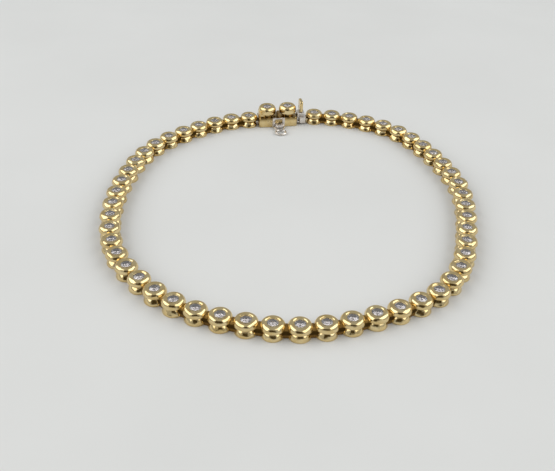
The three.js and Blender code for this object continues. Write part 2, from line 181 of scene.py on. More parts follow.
# Route of the chain seen from above, from the clasp round by the right, in millimetres
ROUTE_SAMPLES = 400
ROUTE_ROUNDS = 4
ROUTE_POINTS = [
    (-2.5, 28.5), (7.5, 29.5), (19.5, 23.5), (26.5, 7), (25, -10), (21, -20), (13.5, -26),
    (0.5, -30), (-13, -27), (-22, -19), (-26, -9.5), (-26.5, 3.5), (-23, 16), (-13, 25.5),
]


# Shapes

def arc(middle, across, up, start, end, steps=ARC_STEPS):
    """Points of an elliptical arc in the plane of radius and height, angles in degrees."""
    turns = np.radians(np.linspace(start, end, steps + 1))
    return [(middle[0] + across * math.cos(t), middle[1] + up * math.sin(t)) for t in turns]


def band(here, there, count):
    """Faces between two closed rows of points, given by the numbers of their first points."""
    faces = []
    for step in range(count):
        after = (step + 1) % count
        faces.append([here + step, there + step, there + after, here + after])
    return faces


def lathe(profile, sides):
    """Closed skin of a profile of (radius, height) pairs turned about +Z."""
    verts, rings, faces = [], [], []
    for radius, height in profile:
        if radius == 0:
            rings.append([len(verts)] * sides)
            verts.append((0.0, 0.0, height))
            continue
        first = len(verts)
        for side in range(sides):
            turn = 2 * math.pi * side / sides
            verts.append((radius * math.cos(turn), radius * math.sin(turn), height))
        rings.append(list(range(first, first + sides)))
    for low, high in zip(rings, rings[1:]):
        for side in range(sides):
            after = (side + 1) % sides
            corners = [low[side], low[after], high[after], high[side]]
            face = list(dict.fromkeys(corners))
            if len(face) > 2:
                faces.append(face)
    return np.array(verts), faces


def ring_of_revolution(profile, sides):
    """Closed skin of a closed profile, such as a barrel with a bore, turned about +Z."""
    count = len(profile)
    verts, faces = [], []
    for side in range(sides):
        turn = 2 * math.pi * side / sides
        verts += [(r * math.cos(turn), r * math.sin(turn), z) for r, z in profile]
    for side in range(sides):
        faces += band(side * count, ((side + 1) % sides) * count, count)
    return np.array(verts), faces


def wire(path, radius, sides=WIRE_SIDES, closed=False):
    """Round wire along a level path of (x, y, z) points, with flat ends unless it is closed."""
    path = np.asarray(path, float)
    before, after = np.roll(path, 1, 0), np.roll(path, -1, 0)
    if not closed:
        before[0], after[-1] = path[0], path[-1]
    along = after - before
    along /= np.linalg.norm(along, axis=1)[:, None]
    level = np.cross(along, (0.0, 0.0, 1.0))
    level /= np.linalg.norm(level, axis=1)[:, None]
    upward = np.cross(level, along)
    verts, faces = [], []
    for point, right, up in zip(path, level, upward):
        for side in range(sides):
            turn = 2 * math.pi * side / sides
            verts.append(point + radius * (right * math.cos(turn) + up * math.sin(turn)))
    rows = len(path) if closed else len(path) - 1
    for row in range(rows):
        faces += band(row * sides, ((row + 1) % len(path)) * sides, sides)
    if not closed:
        last = (len(path) - 1) * sides
        faces.append(list(range(sides)))
        faces.append([last + side for side in reversed(range(sides))])
    return np.array(verts), faces


def brilliant(radius, crown, girdle, pavilion):
    """Round brilliant with its girdle's top at height 0: table, stars, kites and girdle facets."""
    eighth = 2 * math.pi / 8
    points = []
    for index in range(8):
        turn = index * eighth
        between = turn + eighth / 2
        points.append((turn, TABLE_RADIUS, crown))
        points.append((between, STAR_RADIUS, crown * STAR_HEIGHT))
        points.append((between, LOWER_RADIUS, -girdle - pavilion * LOWER_DEPTH))
        for part in (turn, turn + eighth / 4, between, between + eighth / 4):
            points.append((part, 1.0, 0.0))
            points.append((part, 1.0, -girdle))
    verts = [(radius * r * math.cos(t), radius * r * math.sin(t), z) for t, r, z in points]
    verts.append((0.0, 0.0, -girdle - pavilion))
    return hull(verts)


def hull(points):
    """Convex skin over points, with flat faces."""
    shape = bmesh.new()
    made = [shape.verts.new(point) for point in points]
    result = bmesh.ops.convex_hull(shape, input=made)
    loose = [item for item in result["geom_interior"] + result["geom_unused"]
             if isinstance(item, bmesh.types.BMVert)]
    bmesh.ops.delete(shape, geom=list(set(loose)), context="VERTS")
    bmesh.ops.dissolve_limit(shape, angle_limit=math.radians(FLAT_DEGREES), verts=shape.verts,
                             edges=shape.edges)
    shape.verts.index_update()
    verts = np.array([vert.co[:] for vert in shape.verts])
    faces = [[vert.index for vert in face.verts] for face in shape.faces]
    shape.free()
    return verts, faces


def moved(shape, matrix):
    """The shape with every point taken through a 4 by 4 matrix."""
    verts, faces = shape
    table = np.array(matrix)
    return verts @ table[:3, :3].T + table[:3, 3], faces


def joined(shapes):
    """Several shapes as one list of points and faces."""
    verts, faces, count = [], [], 0
    for points, skin in shapes:
        verts.append(points)
        faces += [[count + corner for corner in face] for face in skin]
        count += len(points)
    return np.concatenate(verts), faces


def piece(name, shape, material, matrix=Matrix.Identity(4), smooth_below=CHAIN_SMOOTH_DEGREES):
    """A Blender object in metres from a shape in millimetres."""
    verts, faces = moved(shape, matrix)
    mesh = bpy.data.meshes.new(name)
    mesh.from_pydata((verts * MM).tolist(), [], faces)
    mesh.validate()
    if smooth_below:
        mesh.shade_smooth()
        mesh.set_sharp_from_angle(angle=math.radians(smooth_below))
    mesh.materials.append(material)
    item = bpy.data.objects.new(name, mesh)
    bpy.context.scene.collection.objects.link(item)
    return item


def box_shape(low, high):
    """Plain box between two corners."""
    corners = np.array([[(low, high)[(index >> axis) & 1][axis] for axis in range(3)]
                        for index in range(8)], float)
    faces = [[0, 2, 3, 1], [4, 5, 7, 6], [0, 1, 5, 4], [2, 6, 7, 3], [0, 4, 6, 2], [1, 3, 7, 5]]
    return corners, faces


def rounded_plan(half_length, half_width, corner, steps=CORNER_STEPS):
    """Outline of a rectangle with round corners, as (x, y) pairs."""
    outline = []
    for turn, (side_x, side_y) in enumerate(((1, -1), (1, 1), (-1, 1), (-1, -1))):
        middle = (side_x * (half_length - corner), side_y * (half_width - corner))
        start = -90 + 90 * turn
        outline += arc(middle, corner, corner, start, start + 90, steps)
    return outline


def cushion_slab(outline_at, low, high, edge, steps=EDGE_STEPS):
    """Slab with softly rounded top and bottom edges. outline_at gives its outline at an inset."""
    rows = []
    for turn in np.radians(np.linspace(-90, 0, steps + 1)):
        rows.append((edge * (1 - math.cos(turn)), low + edge * (1 + math.sin(turn))))
    for turn in np.radians(np.linspace(0, 90, steps + 1)):
        rows.append((edge * (1 - math.cos(turn)), high - edge * (1 - math.sin(turn))))
    verts, faces = [], []
    for inset, height in rows:
        verts += [(x, y, height) for x, y in outline_at(inset)]
    count = len(verts) // len(rows)
    for row in range(len(rows) - 1):
        for step in range(count):
            after = (step + 1) % count
            here, there = row * count, (row + 1) * count
            faces.append([here + step, here + after, there + after, there + step])
    faces.append(list(reversed(range(count))))
    faces.append([(len(rows) - 1) * count + step for step in range(count)])
    return np.array(verts), faces


def soft_block(low, high, corner, edge):
    """Block between two corners, with round upright corners and soft edges."""
    middle = [(a + b) / 2 for a, b in zip(low, high)]
    half_x, half_y = (high[0] - low[0]) / 2, (high[1] - low[1]) / 2

    def outline_at(inset):
        plan = rounded_plan(half_x - inset, half_y - inset, max(corner - inset, edge / 4))
        return [(x + middle[0], y + middle[1]) for x, y in plan]

    return cushion_slab(outline_at, low[2], high[2], edge)


def cut(item, tool):
    """Cuts one Blender object out of another, and removes the cutter."""
    change = item.modifiers.new("cut", "BOOLEAN")
    change.operation = "DIFFERENCE"
    change.solver = "EXACT"
    change.object = tool
    bpy.context.view_layer.update()
    graph = bpy.context.evaluated_depsgraph_get()
    mesh = bpy.data.meshes.new_from_object(item.evaluated_get(graph))
    item.modifiers.clear()
    item.data = mesh
    mesh.shade_smooth()
    mesh.set_sharp_from_angle(angle=math.radians(CLASP_SMOOTH_DEGREES))
    bpy.data.objects.remove(tool)


# Materials

def new_material(name, base, metallic, roughness):
    """Material with its Principled shader, and the shader's nodes and links."""
    material = bpy.data.materials.new(f"{name}_finish")
    material["slot"] = name
    material.use_nodes = True
    nodes, links = material.node_tree.nodes, material.node_tree.links
    shader = nodes["Principled BSDF"]
    shader.inputs["Base Color"].default_value = (*base, 1)
    shader.inputs["Metallic"].default_value = metallic
    shader.inputs["Roughness"].default_value = roughness
    return material, shader, nodes, links


def noise(nodes, links, scale, detail=4.0):
    """Noise over the object's own coordinates."""
    place = nodes.new("ShaderNodeTexCoord")
    texture = nodes.new("ShaderNodeTexNoise")
    texture.inputs["Scale"].default_value = scale
    texture.inputs["Detail"].default_value = detail
    links.new(place.outputs["Object"], texture.inputs["Vector"])
    return texture.outputs["Fac"]


def ramp(nodes, links, value, low, high, start=0.3, end=0.7):
    """Maps a grey value to colours or greys between two ends."""
    mapper = nodes.new("ShaderNodeValToRGB")
    mapper.color_ramp.elements[0].position = start
    mapper.color_ramp.elements[0].color = (*low, 1)
    mapper.color_ramp.elements[1].position = end
    mapper.color_ramp.elements[1].color = (*high, 1)
    links.new(value, mapper.inputs["Fac"])
    return mapper.outputs["Color"]


def relief(nodes, links, texture, height, under=None):
    """Bump of a grey texture with the given height, over another bump if one is given."""
    bump = nodes.new("ShaderNodeBump")
    bump.inputs["Strength"].default_value = RELIEF_STRENGTH
    bump.inputs["Distance"].default_value = height
    links.new(texture, bump.inputs["Height"])
    if under:
        links.new(under, bump.inputs["Normal"])
    return bump.outputs["Normal"]


def polished_metal(name, base, worn, smooth, dull, painted_shade=None, groove=CHAIN_GROOVE):
    """Polished metal with faint waves, hairline scratches and duller patches.
    The optional colour after dull is painted shade for the groove between the given heights."""
    material, shader, nodes, links = new_material(name, base, 1.0, smooth)
    patches = noise(nodes, links, PATCH_SCALE)
    colour = ramp(nodes, links, patches, base, worn)
    if painted_shade:
        colour = paint_groove_shade(nodes, links, colour, painted_shade, groove)
    links.new(colour, shader.inputs["Base Color"])
    grains = noise(nodes, links, GRAIN_SCALE, GRAIN_DETAIL)
    grey = ramp(nodes, links, grains, (smooth,) * 3, (dull,) * 3)
    links.new(grey, shader.inputs["Roughness"])
    wavy = noise(nodes, links, WAVE_SCALE, WAVE_DETAIL)
    waves = relief(nodes, links, wavy, WAVE_HEIGHT)
    scratchy = noise(nodes, links, SCRATCH_SCALE, SCRATCH_DETAIL)
    scratched = relief(nodes, links, scratchy, SCRATCH_HEIGHT, waves)
    links.new(scratched, shader.inputs["Normal"])
    return material


def paint_groove_shade(nodes, links, colour, painted_shade, groove):
    """Paints shade into a colour in a groove, darkening it from its start through its full part to
    its end.
    The heights are read on a scale that runs from 0 to twice the groove's end."""
    start, full, fading, end = groove
    span = 2 * end
    place = nodes.new("ShaderNodeTexCoord")
    split = nodes.new("ShaderNodeSeparateXYZ")
    links.new(place.outputs["Object"], split.inputs["Vector"])
    height = nodes.new("ShaderNodeMapRange")
    height.inputs["From Min"].default_value = 0.0
    height.inputs["From Max"].default_value = span * MM
    links.new(split.outputs["Z"], height.inputs["Value"])
    band = nodes.new("ShaderNodeValToRGB")
    stops = band.color_ramp.elements
    stops[0].position, stops[0].color = start / span, (0, 0, 0, 1)
    stops[1].position, stops[1].color = full / span, (1, 1, 1, 1)
    for place_of_stop, grey in ((fading, 1), (end, 0)):
        stops.new(place_of_stop / span).color = (grey, grey, grey, 1)
    links.new(height.outputs["Result"], band.inputs["Fac"])
    mix = nodes.new("ShaderNodeMix")
    mix.data_type = "RGBA"
    links.new(band.outputs["Color"], mix.inputs["Factor"])
    links.new(colour, mix.inputs["A"])
    mix.inputs["B"].default_value = (*painted_shade, 1)
    return mix.outputs["Result"]


def diamond_material():
    """Clear cut stone with a faint grey-lilac body."""
    material, shader, nodes, links = new_material("diamond", STONE_COLOUR, 0.0, STONE_ROUGHNESS)
    shader.inputs["Transmission Weight"].default_value = STONE_CLEARNESS
    shader.inputs["IOR"].default_value = STONE_INDEX
    tint = ramp(nodes, links, noise(nodes, links, TINT_SCALE), *STONE_TINTS)
    links.new(tint, shader.inputs["Base Color"])
    return material


def floor_material():
    """Matte pale surface with a very faint mottle."""
    material, shader, nodes, links = new_material("pale_floor", FLOOR_COLOUR, 0.0, FLOOR_ROUGHNESS)
    mottle = ramp(nodes, links, noise(nodes, links, MOTTLE_SCALE), *FLOOR_TINTS)
    links.new(mottle, shader.inputs["Base Color"])
    return material


# Places

def route_of_length(length):
    """Gives a function from a distance along the closed route to a point, in millimetres."""
    points = np.array(ROUTE_POINTS, float)
    share = np.linspace(0, 1, ROUTE_SAMPLES, endpoint=False)[:, None]
    spans = []
    for index in range(len(points)):
        before, start, end, after = (points[(index + shift) % len(points)]
                                     for shift in (-1, 0, 1, 2))
        leave, arrive = (end - before) / 2, (after - start) / 2
        spans.append((2 * start - 2 * end + leave + arrive) * share ** 3
                     + (3 * end - 3 * start - 2 * leave - arrive) * share ** 2
                     + leave * share + start)
    line = np.concatenate(spans + [points[:1]])
    steps = np.linalg.norm(np.diff(line, axis=0), axis=1)
    distance = np.concatenate([[0], np.cumsum(steps)])
    scale = length / distance[-1]

    def at(place):
        wanted = (place % length) / scale
        return scale * np.array([np.interp(wanted, distance, line[:, axis]) for axis in (0, 1)])

    return at


def place_links():
    """Middles of the links, with the ends exactly as far apart as the clasp is long."""
    span = LEFT_REACH + RIGHT_REACH
    bridge = span
    for _ in range(ROUTE_ROUNDS):
        at = route_of_length((LINK_COUNT - 1) * PITCH + bridge)
        start = bridge * START_SHARE
        middles = np.array([at(start + index * PITCH) for index in range(LINK_COUNT)])
        bridge += span - np.linalg.norm(middles[0] - middles[-1])
    return middles


def plan_frame(middle, towards):
    """Matrix of a frame at a plan point, with +X towards another point and +Z up."""
    turn = math.atan2(towards[1] - middle[1], towards[0] - middle[0])
    return Matrix.Translation((middle[0], middle[1], 0)) @ Matrix.Rotation(turn, 4, "Z")


def node_middle(node):
    """Middle of a CAD node's box in plan, in millimetres."""
    low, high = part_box(node)
    return np.array([(low.x + high.x) / 2, (low.y + high.y) / 2]) / MM


left_cup, right_cup = node_middle("clasp_stone_left"), node_middle("clasp_stone_right")
clasp_middle = (left_cup + right_cup) / 2
clasp_frame = plan_frame(clasp_middle, right_cup)
link_middles = place_links()
share_left = LEFT_REACH / (LEFT_REACH + RIGHT_REACH)
drawn_clasp = link_middles[-1] + (link_middles[0] - link_middles[-1]) * share_left
link_middles = link_middles + (clasp_middle - drawn_clasp)

gold = polished_metal("yellow_gold", *GOLD)
# chain_gold carries painted shade in the links' waist grooves
chain_gold = polished_metal("yellow_gold", *GOLD, CHAIN_PAINTED_SHADE, CHAIN_GROOVE)
# clasp_gold carries painted shade from the upper part of the box's face up to the cups' waists
clasp_gold = polished_metal("yellow_gold", *GOLD, CLASP_PAINTED_SHADE, CLASP_GROOVE)
shaded_amber_gold = polished_metal("yellow_gold", *SHADED_AMBER_GOLD, CONNECTOR_PAINTED_SHADE, CONNECTOR_SHADE)
shaded_recess_gold = polished_metal("yellow_gold", *SHADED_RECESS_GOLD)
white_gold = polished_metal("white_gold", *WHITE_GOLD)
diamond = diamond_material()


# Chain

def smooth_line(points, steps=LINE_STEPS):
    """Points of a smooth line through the given (radius, height) points."""
    points = np.array(points, float)
    line = []
    for index in range(len(points) - 1):
        before, start, end, after = (points[min(max(index + shift, 0), len(points) - 1)]
                                     for shift in (-1, 0, 1, 2))
        leave, arrive = (end - before) / 2, (after - start) / 2
        for share in np.arange(steps) / steps:
            line.append(tuple((2 * start - 2 * end + leave + arrive) * share ** 3
                              + (3 * end - 3 * start - 2 * leave - arrive) * share ** 2
                              + leave * share + start))
    return line + [tuple(points[-1])]


def bezel_ring(skirt=0.0):
    """Bezel ring from the waist over its lip, domed side and crest down its shelf to the stone."""
    lip = [(radius, height - skirt) for radius, height in BEZEL_LIP]
    line = smooth_line(lip) + smooth_line(BEZEL_DOME) + smooth_line(BEZEL_SHELF)
    return list(dict.fromkeys(line))


def stone_pit(seat):
    """Seat under the stone's girdle and the hollow under the stone."""
    return [(STONE_RADIUS + SEAT_GAP, seat - SEAT_DROP), (PIT_RADIUS, seat - PIT_DEPTH),
            (0, seat - PIT_DEPTH)]


def link_profile():
    """Whole link: flat underside, round foot ring, waist and bezel ring."""
    return ([(0, 0)] + smooth_line(FOOT_RING) + [(WAIST_RADIUS, WAIST_HEIGHT)] + bezel_ring()
            + stone_pit(SEAT_HEIGHT))


def eye_path(reach):
    """Level path of a wire eye that leaves a waist along +X and goes round a pin at reach."""
    start = WAIST_RADIUS * ROOT_SHARE
    loop = arc((0, 0), EYE_HALF_WIDTH, EYE_HALF_WIDTH, -90, 90, EYE_STEPS)
    bend = [(reach + x, y) for x, y in loop]
    corners = [(start, -EYE_HALF_WIDTH)] + bend + [(start, EYE_HALF_WIDTH)]
    return [(x, y, WAIST_HEIGHT) for x, y in corners]


def lug_shape():
    """Solid root of an eye, from the waist out to its loop, with a narrow web under it."""
    start = WAIST_RADIUS * ROOT_SHARE
    root = soft_block((start, -LUG_HALF_WIDTH, LUG_BOTTOM), (LUG_REACH, LUG_HALF_WIDTH, LUG_TOP),
                      LUG_EDGE, LUG_EDGE)
    web = soft_block((start, -WEB_HALF_WIDTH, WEB_BOTTOM), (LUG_REACH, WEB_HALF_WIDTH, WEB_TOP),
                     WEB_EDGE, WEB_EDGE)
    return joined([root, web])


def pin_shape(distance):
    """Upright pin on the -X side of a link."""
    half = SOCKET_HALF_HEIGHT + PIN_SPARE
    pin = lathe([(0, -half), (PIN_RADIUS, -half), (PIN_RADIUS, half), (0, half)], WIRE_SIDES)
    return moved(pin, Matrix.Translation((-distance, 0, WAIST_HEIGHT)))


def chain_links(first, last):
    """The round links of one run of the chain."""
    link = lathe(link_profile(), LINK_SIDES)
    return joined([moved(link, Matrix.Translation((*middle, 0)))
                   for middle in link_middles[first:last]])


def chain_connectors(first, last):
    """Lugs, eyes and pins of one run of the chain."""
    eye = wire(eye_path(PITCH - PIN_DISTANCE), EYE_WIRE_RADIUS)
    end_eye = wire(eye_path(SOCKET_PIN_DISTANCE), EYE_WIRE_RADIUS)
    pin = pin_shape(PIN_DISTANCE)
    lug = lug_shape()
    shapes = []
    for index in range(first, last):
        middle = link_middles[index]
        to_clasp = plan_frame(middle, clasp_middle)
        if index in (0, LINK_COUNT - 1):
            shapes.append(moved(end_eye, to_clasp))
        if index < LINK_COUNT - 1:
            ahead = plan_frame(middle, link_middles[index + 1])
            shapes += [moved(eye, ahead), moved(lug, ahead)]
        if index > 0:
            turned_back = plan_frame(middle, link_middles[index - 1])
            shapes.append(moved(pin, turned_back @ Matrix.Rotation(math.pi, 4, "Z")))
    return joined(shapes)


def chain_stones(first, last):
    """Stones of one run, each turned its own way."""
    stone = brilliant(STONE_RADIUS, CROWN_HEIGHT, GIRDLE_HEIGHT, PAVILION_DEPTH)
    chance = np.random.default_rng(first + 1)
    shapes = []
    for index in range(first, last):
        lean_x, lean_y = chance.uniform(-STONE_LEAN, STONE_LEAN, 2)
        turn = chance.uniform(0, 2 * math.pi)
        lean = Matrix.Rotation(lean_x, 4, "X") @ Matrix.Rotation(lean_y, 4, "Y")
        place = Matrix.Translation((*link_middles[index], SEAT_HEIGHT)) @ lean
        shapes.append(moved(stone, place @ Matrix.Rotation(turn, 4, "Z")))
    return joined(shapes)


def make_chain():
    """Two runs of links that meet at the front, each with its stones."""
    meeting = LINK_COUNT // 2
    for side, first, last in (("right", 0, meeting), ("left", meeting, LINK_COUNT)):
        # The connectors' amber gold is painted shade and painted reflection, darkest at middle
        # heights
        for name, shape, material in (("chain", chain_links(first, last), chain_gold),
                                      ("connectors", chain_connectors(first, last), shaded_amber_gold)):
            metal = piece(f"{name}_{side}", shape, material)
            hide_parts(f"links_{side}")
            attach(metal, "bracelet")
        stones = piece(f"stones_{side}", chain_stones(first, last), diamond, smooth_below=0)
        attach(stones, "bracelet")


# Clasp

# Heights and places in the clasp's own frame, +X along it to the right and +Y outward
BOX_END = BOX_LENGTH / 2
BOX_EDGE = 0.2
CAVITY_START = -2.5
WAIST_FOOT = 1.7
ROOT_START = -3.45
ROOT_END = -2.3
ROOT_TOP = 2.75
ROOT_HALF_WIDTH = 1.0
ROOT_CORNER = 0.3
ROOT_EDGE = 0.12
TONGUE_BOTTOM = 0.45
TONGUE_TOP = 0.7
TONGUE_HALF_WIDTH = 0.9
FOLD_START = -2.3
FOLD_END = -2.05
SHEET = 0.25
SHEET_CORNER = 0.05
SHEET_EDGE = 0.04
SHEET_BEND = 0.15
SHEET_FLAT_SHARE = 0.6
SPRING_START = -1.95
SPRING_BOTTOM = 1.05
SPRING_TOP = 1.3
SPRING_HALF_WIDTH = 0.8
SHELF_BOTTOM = 2.0
RISER_START = 3.65
RISER_END = 3.9
END_BLOCK_START = 4.0
END_BLOCK_HALF_WIDTH = 1.15
END_BLOCK_TOP = 1.55
END_BLOCK_CORNER = 0.3
END_BLOCK_EDGE = 0.1
TONGUE_END = 5.25
PIN_INSET = 0.27
SPRING_END = TONGUE_END - PIN_INSET
TAB_THICKNESS = 0.5
TAB_WIDTH = 2.0
TAB_BOTTOM = 2.26
TAB_TOP = 4.55
TAB_INSET = 0.4
TAB_ROUND = 0.5
TAB_EDGE = 0.12
HINGE_Y = -2.08
HINGE_HEIGHT = 0.42
BARREL_RADIUS = 0.4
BARREL_HALF_LENGTH = 0.5
BARREL_EDGE = 0.05
BORE_RADIUS = 0.26
LATCH_WIRE_RADIUS = 0.18
LATCH_ROD_EDGE = 0.1
LATCH_ARM = 0.9
LATCH_NECK = 0.55
LATCH_NECK_REACH = 1.5
LATCH_RING_REACH = 2.2
LATCH_RING_HALF_WIDTH = 0.9
LATCH_RING_HALF_LENGTH = 0.8
LATCH_DROP = math.radians(3)
PLATE_FRONT = -1.85
PLATE_BACK = -1.6
PLATE_HALF_WIDTH = 1.125
PLATE_WINDOW_HALF_WIDTH = 0.675
PLATE_BOTTOM = 0.24
PLATE_TOP = 1.95
PLATE_WINDOW_TOP = 1.7
PLATE_CORNER = 0.08
PLATE_EDGE = 0.05
PEG_HEIGHT = 2.62
PEG_RADIUS = 0.24
PEG_FRONT = -2.46
PEG_EDGE = 0.12
POST_FRONT = -1.15
POST_BACK = -0.43
POST_CORNER = 0.08
POST_EDGE = 0.06
SOCKET_HALF_WIDTH = 0.67
LOOSE_CROWN = 0.15
LOOSE_GIRDLE = 0.08
LOOSE_PAVILION = 0.64

# How far a cutter stands out of what it cuts
CUT_SPARE = 0.1
CUT_FRONT_SPARE = 1

ALONG_X = Matrix.Rotation(math.radians(90), 4, "Y")
ALONG_Y = Matrix.Rotation(math.radians(-90), 4, "X")
HINGE_PLACE = Matrix.Translation((0, HINGE_Y, HINGE_HEIGHT))


def clasp_piece(name, shape, material, body, nodes, smooth_below=CLASP_SMOOTH_DEGREES, holes=()):
    """Piece drawn in the clasp's own frame, riding on a body and standing for CAD nodes."""
    item = piece(name, shape, material, clasp_frame, smooth_below)
    for index, hole in enumerate(holes):
        cut(item, piece(f"{name}_hole_{index}", hole, material, clasp_frame, 0))
    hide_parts(*nodes)
    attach(item, body)


def rod(radius, low, high, edge):
    """Round rod along +Z with softened ends."""
    foot = arc((radius - edge, low + edge), edge, edge, -90, 0, EDGE_STEPS)
    head = arc((radius - edge, high - edge), edge, edge, 0, 90, EDGE_STEPS)
    return lathe([(0, low)] + foot + head + [(0, high)], SMALL_SIDES)


def cup_profile():
    """Cup on the box: waist, bezel ring, shelf and a seat that clears the loose stone."""
    ring = [(radius, height + CUP_LIFT) for radius, height in bezel_ring(CUP_SKIRT)]
    pit = stone_pit(CUP_SEAT)
    waist_top = WAIST_HEIGHT + CUP_LIFT - CUP_SKIRT
    return [(0, WAIST_FOOT), (WAIST_RADIUS, WAIST_FOOT), (WAIST_RADIUS, waist_top)] + ring + pit


def window_at(pin_x, direction):
    """Slot in which the eye of an end link passes round its pin."""
    near, far = pin_x - direction * SOCKET_HALF_WIDTH, pin_x + direction * 2 * PIN_INSET
    return box_shape((min(near, far), -SOCKET_HALF_WIDTH, WAIST_HEIGHT - SOCKET_HALF_HEIGHT),
                     (max(near, far), SOCKET_HALF_WIDTH, WAIST_HEIGHT + SOCKET_HALF_HEIGHT))


def window_pin(pin_x):
    """Pin that crosses a window from top to bottom."""
    return moved(pin_shape(0), Matrix.Translation((pin_x, 0, 0)))


def make_case():
    """Gold box with its cups, the wall that runs up to the left cup, and the latch's peg."""
    case = soft_block((-BOX_END, -BOX_WIDTH / 2, 0), (BOX_END, BOX_WIDTH / 2, BOX_HEIGHT),
                      BOX_CORNER, BOX_EDGE)
    cavity = box_shape((CAVITY_START, -BOX_WIDTH / 2 + BOX_WALL, BOX_WALL),
                       (BOX_END + BOX_WALL, BOX_WIDTH / 2 - BOX_WALL, BOX_HEIGHT - BOX_WALL))
    left_pin = -BOX_END + PIN_INSET
    # The box and cups are painted with shade in a band from the upper part of the box's face up to
    # the cups' waists
    clasp_piece("clasp_case", case, clasp_gold, "bracelet", ["clasp_box"],
                holes=[cavity, window_at(left_pin, -1)])
    clasp_piece("case_pin", window_pin(left_pin), gold, "bracelet", ["clasp_box"])
    root = soft_block((ROOT_START, -ROOT_HALF_WIDTH, WAIST_FOOT),
                      (ROOT_END, ROOT_HALF_WIDTH, ROOT_TOP), ROOT_CORNER, ROOT_EDGE)
    clasp_piece("cup_root", root, gold, "bracelet", ["clasp_box"])
    for side, name in ((-1, "left"), (1, "right")):
        place = Matrix.Translation((side * CUP_SPACING / 2, 0, 0))
        cup = moved(lathe(cup_profile(), CUP_SIDES), place)
        clasp_piece(f"cup_{name}", cup, clasp_gold, "bracelet", ["clasp_box"])
        stone = brilliant(STONE_RADIUS, LOOSE_CROWN, LOOSE_GIRDLE, LOOSE_PAVILION)
        lifted = place @ Matrix.Translation((0, 0, CUP_SEAT))
        clasp_piece(f"brilliant_{name}", moved(stone, lifted), diamond, "bracelet",
                    [f"clasp_stone_{name}"], smooth_below=0)
    post = soft_block((-PEG_RADIUS, POST_FRONT, WAIST_FOOT),
                      (PEG_RADIUS, POST_BACK, PEG_HEIGHT + PEG_RADIUS), POST_CORNER, POST_EDGE)
    peg = moved(rod(PEG_RADIUS, PEG_FRONT, POST_FRONT + PEG_RADIUS, PEG_EDGE),
                Matrix.Translation((0, 0, PEG_HEIGHT)) @ ALONG_Y)
    # The post and peg are painted in shade-dark gold
    clasp_piece("latch_peg", joined([post, peg]), shaded_recess_gold, "bracelet", ["clasp_box"])


def make_tongue():
    """White gold leaf with its fold in the box and the end block with its pin."""
    leaf = soft_block((FOLD_START, -TONGUE_HALF_WIDTH, TONGUE_BOTTOM),
                      (END_BLOCK_START + SHEET, TONGUE_HALF_WIDTH, TONGUE_TOP),
                      SHEET_CORNER, SHEET_EDGE)
    fold = soft_block((FOLD_START, -TONGUE_HALF_WIDTH, TONGUE_BOTTOM),
                      (FOLD_END, TONGUE_HALF_WIDTH, SPRING_TOP), SHEET_CORNER, SHEET_EDGE)
    clasp_piece("tongue_leaf", joined([leaf, fold]), white_gold, "bracelet", ["tongue"])
    right_pin = TONGUE_END - PIN_INSET
    block = soft_block((END_BLOCK_START, -END_BLOCK_HALF_WIDTH, BOX_WALL),
                       (TONGUE_END, END_BLOCK_HALF_WIDTH, END_BLOCK_TOP),
                       END_BLOCK_CORNER, END_BLOCK_EDGE)
    clasp_piece("end_block", block, white_gold, "bracelet", ["tongue"],
                holes=[window_at(right_pin, 1)])
    clasp_piece("end_pin", window_pin(right_pin), white_gold, "bracelet", ["tongue"])


def strip(line, half_width, thickness):
    """Bent strip of sheet along a line of (x, z) points, as wide as given."""
    line = np.asarray(line, float)
    along = np.gradient(line, axis=0)
    along /= np.linalg.norm(along, axis=1)[:, None]
    outward = np.stack([-along[:, 1], along[:, 0]], axis=1) * thickness / 2
    edge = thickness / 5
    flat = SHEET_FLAT_SHARE
    section = [(-1, -half_width + edge), (-1, half_width - edge), (-flat, half_width),
               (flat, half_width), (1, half_width - edge), (1, -half_width + edge),
               (flat, -half_width), (-flat, -half_width)]
    verts, faces = [], []
    for point, shift in zip(line, outward):
        verts += [(point[0] + shift[0] * share, y, point[1] + shift[1] * share)
                  for share, y in section]
    count = len(section)
    for row in range(len(line) - 1):
        faces += band(row * count, (row + 1) * count, count)
    faces.append(list(range(count)))
    faces.append([(len(line) - 1) * count + step for step in reversed(range(count))])
    return np.array(verts), faces


def make_spring():
    """Sprung upper leaf that comes out of the box and rises to a shelf, and its gold thumb tab."""
    half = SHEET / 2
    bend = SHEET_BEND
    riser = (RISER_START + RISER_END) / 2
    low, high = SPRING_BOTTOM + half, SHELF_BOTTOM + half
    corner_low = arc((riser - bend, low + bend), bend, bend, -90, 0, BEND_STEPS)
    corner_high = arc((riser + bend, high - bend), bend, bend, 90, 180, BEND_STEPS)
    line = [(SPRING_START, low)] + corner_low + corner_high[::-1] + [(SPRING_END, high)]
    clasp_piece("spring_leaf", strip(line, SPRING_HALF_WIDTH, SHEET), white_gold, "spring",
                ["tongue_spring"])
    middle = (TAB_BOTTOM + TAB_TOP) / 2
    half_height = (TAB_TOP - TAB_BOTTOM) / 2
    tab = soft_block((-half_height, -TAB_WIDTH / 2, -TAB_THICKNESS / 2),
                     (half_height, TAB_WIDTH / 2, TAB_THICKNESS / 2), TAB_ROUND, TAB_EDGE)
    tab_x = SPRING_END - TAB_INSET - TAB_THICKNESS / 2
    upright = Matrix.Translation((tab_x, 0, middle)) @ ALONG_X
    clasp_piece("thumb_grip", moved(tab, upright), gold, "spring", ["thumb_tab"])


